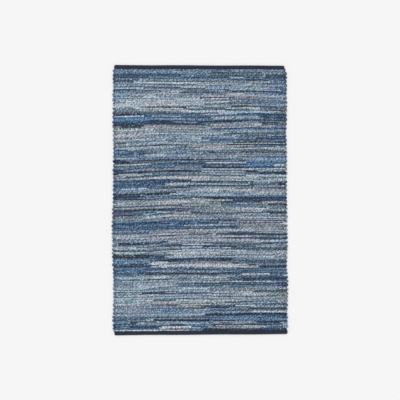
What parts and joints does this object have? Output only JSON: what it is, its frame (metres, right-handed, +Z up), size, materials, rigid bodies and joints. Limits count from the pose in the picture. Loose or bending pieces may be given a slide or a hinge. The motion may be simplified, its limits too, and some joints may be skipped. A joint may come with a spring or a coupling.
{
  "type": "rag rug",
  "caption": "Flat-woven rectangular rag rug of mixed blue and grey cotton rags, with raised weft ribs, scalloped selvedges and navy tape folded over each end.",
  "frame": {"origin": "on the floor under the middle of the rug, halfway between the widest turns of the two selvedges and halfway between the two folded ends", "axes": "+X across the rug along the weft ribs, +Y along the rug towards the end shown uppermost, +Z up from the floor through the ribbed face"},
  "size_m": [0.9122, 1.3938, 0.007],
  "materials": {
    "rag_weave": "weft-faced plain weave of torn denim and cotton rags in blues, greys and cream, matt",
    "navy_tape": "navy cotton tape, close weave, matt"
  },
  "bodies": {
    "root": {"woven_field": "rag_weave", "binding_top": "navy_tape", "binding_bottom": "navy_tape"}
  },
  "joints": []
}
